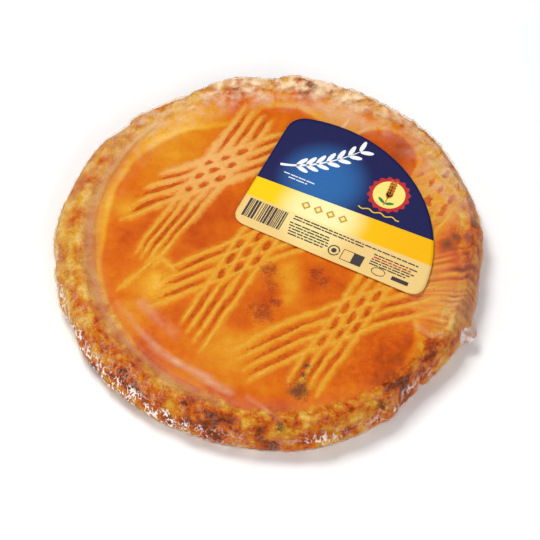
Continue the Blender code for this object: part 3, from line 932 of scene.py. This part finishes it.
# The creases' painted highlights, patchy along them.
crease = np.zeros_like(x)
uneven = smooth_step(lattice_noise(film_points, 5.0 * MM, CREASE_SEED), 0.2, 0.8)
for line, crease_height, half_width, strength in CREASES_WITH_HIGHLIGHTS:
    ridge = bell(to_line(x, y, line), half_width * MM) * film_on_top
    proud = proud + crease_height * MM * ridge
    crease = np.maximum(crease, ridge * strength * (0.35 + 0.65 * uneven))
off_tail = angle_between(angle, TAIL_ANGLE)
tail = bell(off_tail, TAIL_SPREAD) * bell(z - TAIL_HEIGHT, TAIL_THICKNESS)
tail = tail * (film_ring > SIDE_START)
film_points = film_points + film_normals * proud[..., None]
film_points[..., 0] += TAIL_LENGTH * tail * np.cos(np.radians(angle))
film_points[..., 1] += TAIL_LENGTH * tail * np.sin(np.radians(angle))
film_points[..., 2] = np.maximum(film_points[..., 2], 0.0)
film_points[..., 2] *= off_base
# Over the moat the film gets a painted reflection, a pinkish-brown veil, strongest on the left and along
# its line; by the gathered end the veil is the film's own clouding.
over_moat = bell(film_ring - MOAT_RADIUS - 2.3 * MM, 2.9 * MM) * film_on_top
moat_reflection_side = np.maximum(near_bearing(angle, *MOAT_REFLECTION_SIDE), 0.3 * near_bearing(angle, *MOAT_REFLECTION_LEFT))
lift = np.maximum(lift, over_moat * (0.01 + 0.84 * moat_reflection_side))
lift = np.maximum(lift, 0.8 * tail)
lift = np.maximum(lift, 0.85 * bell(to_line(x, y, MOAT_REFLECTION_LINE), MOAT_REFLECTION_WIDTH) * film_on_top)
# A pale painted glare on the far side's film past the moat, and a pale painted reflection on the film's
# lowest part at the front.
past_moat = smooth_step(film_ring, MOAT_RADIUS - 13.0 * MM, MOAT_RADIUS + 3.0 * MM)
far_side_glare = near_bearing(angle, *FAR_GLARE_SIDE) * past_moat * film_on_top
far_side_glare = far_side_glare * (1.0 - 0.8 * near_place(x, y, *GLARE_FREE_SPOT))
skirt_reflection = (1.0 - smooth_step(z, 2.0 * MM, 6.5 * MM)) * smooth_step(z, 0.1 * MM, 1.0 * MM)
skirt_reflection = skirt_reflection * (film_ring > SIDE_START)
far_side_glare = np.maximum(far_side_glare, 0.9 * skirt_reflection * near_bearing(angle, *SKIRT_REFLECTION))
# The painted glints lie mostly on the belly of the side.
on_belly = smooth_step(film_ring, CAKE_RADIUS - 3.5 * MM, CAKE_RADIUS - 1.2 * MM) * off_base
sparkle = sum(size * near_bearing(angle, at, spread) for at, spread, size in SPARKLES)
film = closed_round("film", film_points)
# lift: the moat's painted reflection and the clouding by the gathered end.
store(film, "lift", lift)
store(film, "outer", outer)
store(film, "crease", crease)
store(film, "far", far_side_glare)
store(film, "sparkle", (0.08 + sparkle) * (0.12 * outer + 0.88 * on_belly))

clear = Finish("clear_film")
cloud_and_moat_reflection = clear.attribute("lift")
film_outer = clear.attribute("outer")
place = clear.node("ShaderNodeTexCoord", output="Object")
parts = clear.node("ShaderNodeSeparateXYZ", {}, {"Vector": place})
across = Wire(clear, parts.socket.node.outputs["Y"])
round_angle = across.maths("ARCTAN2", across, parts)
wander = clear.noise(7.0 * MM, detail=2.0, stretch=(1.0, 1.0, 0.3))
ripple = (round_angle * RIPPLES_A_RADIAN + wander * 12.0).sine() * 0.5 + 0.5
crinkle = clear.noise(2.2 * MM, detail=3.0, roughness=0.6, shift=5.0)
relief = ripple * film_outer * 0.6 + crinkle * (0.2 + 0.8 * film_outer)
film_normal = clear.bump(relief, 0.6 * MM, 0.8)
painted_crease_highlight = clear.attribute("crease")
# far: the far side's painted glare and the skirt's painted reflection.
far = clear.attribute("far")
# The veil's colour: white for the painted glints, pinkish brown for the moat's painted reflection and
# the clouding by the gathered end, peach for the painted highlights of the creases and the far side.
veil_and_glare_colour = clear.mix(cloud_and_moat_reflection * 4.0, linear(252, 240, 226), linear(204, 132, 104))
veil_and_glare_colour = clear.mix(painted_crease_highlight.most(far) * 2.0, veil_and_glare_colour, linear(252, 214, 172))
streaks = clear.noise(5.0 * MM, detail=3.0, shift=9.0)
curls = clear.noise(2.6 * MM, detail=2.0, roughness=0.6, shift=15.0, stretch=(1.0, 1.0, 0.6))
wisp = 1.0 - (abs(curls - 0.5) * 15.0).step(0.2, 1.1)
# Glints painted as white curls and streaks on the puckers, where the sparkle attribute says.
glint = (wisp * 0.7 + ripple * 0.15 + (streaks - 0.5) * 2.4).step(0.5, 0.8)
veil_and_glare_share = (cloud_and_moat_reflection * (0.3 + 0.6 * streaks)).most(glint * clear.attribute("sparkle"))
veil_and_glare_share = veil_and_glare_share.most(painted_crease_highlight * (0.2 + 0.8 * streaks)).most(far * (streaks - 0.35) * 3.8)
# A diffuse film over the clear one: the film's clouding by its gathered end, and painted glints,
# reflections and highlights elsewhere.
veil_and_glare = clear.over(veil_and_glare_share, clear.see_through(), clear.opaque(veil_and_glare_colour, 1.0, 0.0))
shine = clear.node("ShaderNodeFresnel", {}, {"IOR": FILM_IOR, "Normal": film_normal})
shine = (shine * (0.03 + 0.19 * film_outer)).least(MOST_SHINE)
film_surface = clear.over(shine, veil_and_glare, clear.gloss(0.24 - 0.12 * film_outer, film_normal))
film.data.materials.append(clear.end(film_surface))
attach(film, "root")
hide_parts("wrapped_cake")
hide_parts("wrapped_cake")

# The film's gathered end
# A short ruffle of bunched film that was drawn together and sealed low on the right of the rim.
# It is crinkled and clouded white, with a ragged edge.
RUFFLE_TURN = (-21.0, -28.6)
RUFFLE_ROOT = 92.5 * MM
RUFFLE_REACH = (2.0 * MM, 6.4 * MM)
RUFFLE_TOP = 15.0 * MM
RUFFLE_DROP = 7.0 * MM
RUFFLE_FOLDS = 5
RUFFLE_FOLD_DEPTH = 0.9 * MM
RUFFLE_RAG = 0.8 * MM
RUFFLE_TEARS = 14
RUFFLE_COLUMNS = 160
RUFFLE_ROWS = 24
RUFFLE_THICKNESS = 0.12 * MM
RUFFLE_SEED = 9


def grid_mesh(name, points):
    """A sheet from a grid of points, open on all four sides."""
    rows, columns, _ = points.shape
    index = np.arange(rows * columns).reshape(rows, columns)
    corners = (index[:-1, :-1], index[1:, :-1], index[1:, 1:], index[:-1, 1:])
    quads = np.stack(corners, axis=-1).reshape(-1, 4)
    return smooth_piece(name, points.reshape(-1, 3).tolist(), quads.tolist())


def ruffle():
    """Out and down from the rim, furthest in the middle, in folds that deepen to a ragged edge."""
    row_shares = np.linspace(0.0, 1.0, RUFFLE_ROWS)
    column_shares = np.linspace(0.0, 1.0, RUFFLE_COLUMNS)
    out, along = np.meshgrid(row_shares, column_shares, indexing="ij")
    rng = random.Random(RUFFLE_SEED)
    tears = [rng.uniform(-1.0, 1.0) for _ in range(RUFFLE_TEARS)]
    rag = np.interp(along, np.linspace(0.0, 1.0, RUFFLE_TEARS), tears)
    hump = np.interp(along, (0.0, 0.6, 1.0), (0.0, 1.0, 0.1)) ** 1.3
    reach = RUFFLE_REACH[0] + RUFFLE_REACH[1] * hump + RUFFLE_RAG * rag
    fold = math.tau * RUFFLE_FOLDS * along + 1.3 * np.sin(9.0 * along)
    turn = np.radians(RUFFLE_TURN[0] + (RUFFLE_TURN[1] - RUFFLE_TURN[0]) * along)
    turn = turn + 0.7 * RUFFLE_FOLD_DEPTH / RUFFLE_ROOT * out * np.cos(fold)
    radius = RUFFLE_ROOT + out * reach
    height = RUFFLE_TOP - RUFFLE_DROP * out + RUFFLE_FOLD_DEPTH * (0.3 + out) * np.sin(fold)
    return np.stack((radius * np.cos(turn), radius * np.sin(turn), height), axis=-1)


film_end = grid_mesh("film_end", ruffle())
walls = film_end.modifiers.new("film_thickness", "SOLIDIFY")
walls.thickness = RUFFLE_THICKNESS
bunched = Finish("bunched_film")
cloud = bunched.noise(3.5 * MM, detail=1.0)
cloud_colour = bunched.mix(cloud.step(0.3, 0.6), linear(232, 200, 182), linear(255, 246, 240))
cloud_share = 0.35 + 0.5 * cloud.step(0.3, 0.7)
clouded = bunched.over(cloud_share, bunched.see_through(), bunched.opaque(cloud_colour, 1.0, 0.0))
glossy = bunched.gloss(0.12, bunched.bump(cloud, 0.5 * MM, 0.5))
film_end.data.materials.append(bunched.end(bunched.over(0.12, clouded, glossy)))
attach(film_end, "root")

# The label
# A sheet of coated paper, cut to a quarter moon with rounded corners and stuck flat on the film.
# It is printed in fields of dark blue, yellow and pale peach.
LABEL_CORNER = (-17.0 * MM, 10.2 * MM)
LABEL_TURN = math.radians(-26.6)
LABEL_ARC_CENTRE = 25.0 * MM
LABEL_ARC_RADIUS = 68.1 * MM
LABEL_FILLET = 7.0 * MM
LABEL_LENGTH = LABEL_ARC_CENTRE + LABEL_ARC_RADIUS
LABEL_ARC_POINTS = 60
LABEL_EDGE_POINTS = 30
LABEL_FILLET_POINTS = 12
LABEL_RINGS = 30
LABEL_WAVE = 0.05 * MM
LABEL_WAVELENGTHS = (9.0 * MM, 7.0 * MM)
SHEET_MILLIMETRES = 100.0
label_low, label_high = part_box("label")


def curve(start, lift, end, points=24):
    """Points on the quadratic curve from start to end, drawn towards lift."""
    t = np.linspace(0.0, 1.0, points)[:, None]
    return (1 - t) ** 2 * np.array(start) + 2 * t * (1 - t) * np.array(lift) + t ** 2 * np.array(end)


def straight(before, after):
    """Points along a straight edge, without its ends."""
    t = np.linspace(0.0, 1.0, LABEL_EDGE_POINTS + 2)[1:-1, None]
    return np.array(before) * (1.0 - t) + np.array(after) * t


def label_outline():
    """The label's edge in its own frame, anticlockwise from its lower left corner."""
    size = LABEL_FILLET
    points = LABEL_FILLET_POINTS
    radius = LABEL_ARC_RADIUS
    height = math.sqrt(radius ** 2 - LABEL_ARC_CENTRE ** 2)
    last_turn = math.pi - math.acos(LABEL_ARC_CENTRE / radius)
    turns = np.linspace(size / radius, last_turn - size / radius, LABEL_ARC_POINTS)
    arc = np.stack((LABEL_ARC_CENTRE + radius * np.cos(turns), radius * np.sin(turns)), axis=1)
    return np.concatenate((
        curve((0.0, size), (0.0, 0.0), (size, 0.0), points),
        straight((size, 0.0), (LABEL_LENGTH - size, 0.0)),
        curve((LABEL_LENGTH - size, 0.0), (LABEL_LENGTH, 0.0), arc[0], points)[:-1],
        arc[:-1],
        curve(arc[-1], (0.0, height), (0.0, height - size), points),
        straight((0.0, height - size), (0.0, size)),
    ))


def on_cake(flat, height):
    """Points of the label's own frame, laid on the cake: turned, moved and set at a height."""
    c = math.cos(LABEL_TURN)
    s = math.sin(LABEL_TURN)
    x = LABEL_CORNER[0] + c * flat[..., 0] - s * flat[..., 1]
    y = LABEL_CORNER[1] + s * flat[..., 0] + c * flat[..., 1]
    return np.stack((x, y, np.broadcast_to(height, x.shape)), axis=-1)


outline = label_outline()
middle_point = outline.mean(axis=0)
shares = np.linspace(0.0, 1.0, LABEL_RINGS)[:, None, None]
flat_top = middle_point + (outline - middle_point) * shares
flat_bottom = flat_top[::-1]
flat_label = np.concatenate((flat_top, flat_bottom))
wave = LABEL_WAVE * np.prod(np.sin(flat_label / LABEL_WAVELENGTHS), axis=-1)
side = np.concatenate((np.full(len(flat_top), label_high.z), np.full(len(flat_bottom), label_low.z)))
label = closed_round("label_paper", on_cake(flat_label, side[:, None] + wave - LABEL_WAVE))
sheet_uv = label.data.uv_layers.new(name="label_millimetres_over_hundred")
flat_uv = np.concatenate((flat_label[1:-1].reshape(-1, 2), flat_label[[0, -1], 0]))
flat_uv = flat_uv / (SHEET_MILLIMETRES * MM)
corners = np.empty(len(label.data.loops), dtype=np.int32)
label.data.loops.foreach_get("vertex_index", corners)
sheet_uv.data.foreach_set("uv", flat_uv[corners].astype(np.float32).ravel())

paper = Finish("label_paper")
sheet_place = paper.node("ShaderNodeTexCoord", output="UV")
spot_on_sheet = paper.node("ShaderNodeSeparateXYZ", {}, {"Vector": sheet_place})
u = spot_on_sheet * SHEET_MILLIMETRES
v = Wire(paper, spot_on_sheet.socket.node.outputs["Y"]) * SHEET_MILLIMETRES


def glow(centre_u, centre_v, reach):
    """A round glow on the sheet: 1 at its centre, falling to 0 at its reach in millimetres."""
    square = (u - centre_u) * (u - centre_u) + (v - centre_v) * (v - centre_v)
    return 1.0 - (square / reach ** 2).step(0.0, 1.0)


blue = paper.mix(glow(28.0, 37.0, 24.0) * 0.8, linear(30, 30, 80), linear(48, 112, 180))
yellow = paper.mix(u.step(10.0, 90.0), linear(246, 204, 8), linear(244, 180, 4))
yellow = paper.mix(glow(35.0, 21.0, 24.0), yellow, linear(253, 240, 175))
peach = paper.mix(glow(35.0, 18.0, 22.0) * 0.8, linear(236, 200, 128), linear(250, 232, 160))
in_yellow = (v - 15.4 - u * 0.021).step(-0.15, 0.15)
in_blue = (v - 26.3 - u * 0.043).step(-0.12, 0.12)
sheet_colour = paper.mix(in_blue, paper.mix(in_yellow, peach, yellow), blue)
fibre = paper.noise(0.25 * MM, detail=2.0)
paper_normal = paper.bump(fibre, 0.02 * MM, 0.4)
paper_surface = paper.opaque(sheet_colour, 0.48 + 0.08 * fibre, 0.12, paper_normal)
label.data.materials.append(paper.end(paper_surface))
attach(label, "root")
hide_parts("label")

# The print
# Thin coats of ink on the label, one piece for each colour: a wheat sprig, a round badge with
# an ear in it, a row of lozenges, and plain bars and dashes where the small print would be.
INK_THICKNESS = 0.02 * MM
INK_STEP = 0.025 * MM
PRINT_SEED = 5
BADGE = (58.0, 43.5)
LOZENGE_TURN = 0.03


def ellipse(u, v, half_u, half_v, turn=0.0, points=18, scallop=0.0, lobes=0):
    """Points round an ellipse whose radius also rises and falls by the scallop, lobes times."""
    t = np.linspace(0.0, math.tau, points, endpoint=False)
    size = 1.0 + scallop * np.cos(lobes * t)
    a = half_u * size * np.cos(t)
    b = half_v * size * np.sin(t)
    c = math.cos(turn)
    s = math.sin(turn)
    return np.stack((u + a * c - b * s, v + a * s + b * c), axis=1)


def bar(u, v, width, height):
    """The four corners of an upright bar from its lower left corner."""
    return np.array(((u, v), (u + width, v), (u + width, v + height), (u, v + height)))


def ribbon(line, width):
    """Four-cornered pieces along a line of points, with the width at each point."""
    line = np.asarray(line, dtype=float)
    along = np.gradient(line, axis=0)
    across = np.stack((-along[:, 1], along[:, 0]), axis=1) / np.linalg.norm(along, axis=1)[:, None]
    left = line + 0.5 * np.reshape(width, (-1, 1)) * across
    right = line - 0.5 * np.reshape(width, (-1, 1)) * across
    return [np.stack((right[i], right[i + 1], left[i + 1], left[i])) for i in range(len(line) - 1)]


def ink(name, shapes, coat, colour):
    """One colour of print: flat outlines in label millimetres, laid on the paper at a coat's height."""
    corners = [on_cake(shape * MM, label_high.z + INK_STEP * (coat + 1)) for shape in shapes]
    ends = np.cumsum([len(shape) for shape in corners])
    faces = [list(range(end - len(shape), end)) for end, shape in zip(ends, corners)]
    mesh = bpy.data.meshes.new(name)
    mesh.from_pydata(np.concatenate(corners).tolist(), [], faces)
    item = add(name, mesh)
    thicken = item.modifiers.new("ink", "SOLIDIFY")
    thicken.thickness = INK_THICKNESS
    thicken.offset = -1.0
    coating = Finish(name)
    grain = coating.noise(0.4 * MM)
    tone = coating.mix(grain.step(0.3, 0.7) * 0.12, colour, tuple(0.8 * part for part in colour))
    mesh.materials.append(coating.end(coating.opaque(tone, 0.34 + 0.1 * grain, 0.4)))
    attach(item, "root")


def leaves(line, first, count, length, width, lean):
    """Pointed leaves in pairs along a line, leaning out from it by an angle on either side."""
    made = []
    along = np.gradient(line, axis=0)
    for index in np.linspace(first, len(line) - 1, count).astype(int):
        heading = math.atan2(along[index, 1], along[index, 0])
        for side in (-1, 1):
            turn = heading + side * lean
            middle = line[index] + 0.55 * length * np.array((math.cos(turn), math.sin(turn)))
            made.append(ellipse(*middle, 0.5 * length, 0.5 * width, turn, points=10))
    return made


def words(u, v, length, height, rng):
    """Dashes of uneven length in a row, as of small print."""
    made = []
    end = u + length
    while u < end - 1.0:
        run = min(rng.uniform(1.0, 4.2), end - u)
        made.append(bar(u, v, run, height))
        u += run + 0.45
    return made


rng = random.Random(PRINT_SEED)
stem = curve((6.5, 37.0), (22.0, 41.0), (36.0, 59.0))
white = ribbon(stem, np.linspace(1.3, 0.4, len(stem))) + leaves(stem, 5, 7, 6.4, 2.2, 0.62)
for row_v, row_u, row_length in ((33.6, 10.0, 16.0), (32.0, 13.0, 10.0)):
    white += words(row_u, row_v, row_length, 0.5, rng)
ink("print_white", white, 0, linear(244, 244, 246))
badge = ellipse(*BADGE, 9.4, 9.4, points=96, scallop=0.06, lobes=16)
ink("print_red", [badge], 0, linear(190, 28, 34))
ink("print_cream", [ellipse(*BADGE, 7.4, 7.4, points=40)], 1, linear(250, 226, 120))
ear_stem = curve((58.0, 37.4), (58.4, 42.0), (57.6, 49.0))
ear = ribbon(ear_stem, 0.5) + leaves(ear_stem, 9, 6, 3.1, 1.3, 0.5)
ink("print_amber", ear, 2, linear(196, 112, 16))
ink("print_green", leaves(ear_stem, 2, 1, 4.2, 1.5, 1.1), 2, linear(40, 120, 52))
wave_u = np.linspace(48.0, 68.0, 40)
wave_v = 31.9 + 0.043 * (wave_u - 48.0) + 0.5 * np.sin(wave_u * 1.1)
gold = ribbon(np.stack((wave_u, wave_v), axis=1), 0.6)
ink("print_gold", gold, 0, linear(232, 190, 40))
lozenge_places = [(place, 20.85 + 0.032 * place) for place in (27.0, 33.0, 39.0, 45.0)]
for name, size, coat, colour in (
    ("print_lozenges", 2.3, 0, linear(206, 150, 40)),
    ("print_lozenge_hearts", 1.2, 1, linear(252, 236, 150)),
):
    lozenges = [ellipse(*place, size, size, LOZENGE_TURN, points=4) for place in lozenge_places]
    ink(name, lozenges, coat, colour)
dark = []
place_u = 3.0
while place_u < 22.0:
    stripe = rng.choice((0.35, 0.45, 0.8, 1.1))
    dark.append(bar(place_u, 4.3, stripe, 10.2))
    place_u += stripe + rng.choice((0.35, 0.5, 0.8))
for row_v, row_u, row_length in ((14.0, 25.0, 62.0), (12.6, 25.0, 36.0)):
    dark += words(row_u, row_v, row_length, 0.62, rng)
for row in range(5):
    dark += words(24.5 + 0.4 * row, 10.2 - 1.45 * row, 19.5 - 2.2 * (row == 4), 0.62, rng)
for row in range(4):
    dark += words(65.5, 11.4 - 1.3 * row - 1.3 * (row > 0), 22.0 - 1.5 * row, 0.6, rng)
dark += ribbon(ellipse(48.6, 5.6, 2.5, 2.5, points=25), 0.5) + [ellipse(48.6, 5.6, 1.2, 1.2)]
dark += ribbon(ellipse(71.0, 4.0, 3.2, 1.9, points=25), 0.35) + [bar(57.6, 2.6, 5.0, 5.8)]
dark += ribbon(((57.6, 2.8), (52.6, 2.8), (52.6, 8.2), (57.6, 8.2)), 0.35) + [bar(77.5, 2.9, 8.0, 2.0)]
ink("print_dark", dark, 0, linear(52, 40, 44))
ink("print_small_red", words(66.0, 10.0, 18.0, 0.7, rng), 0, linear(190, 40, 40))
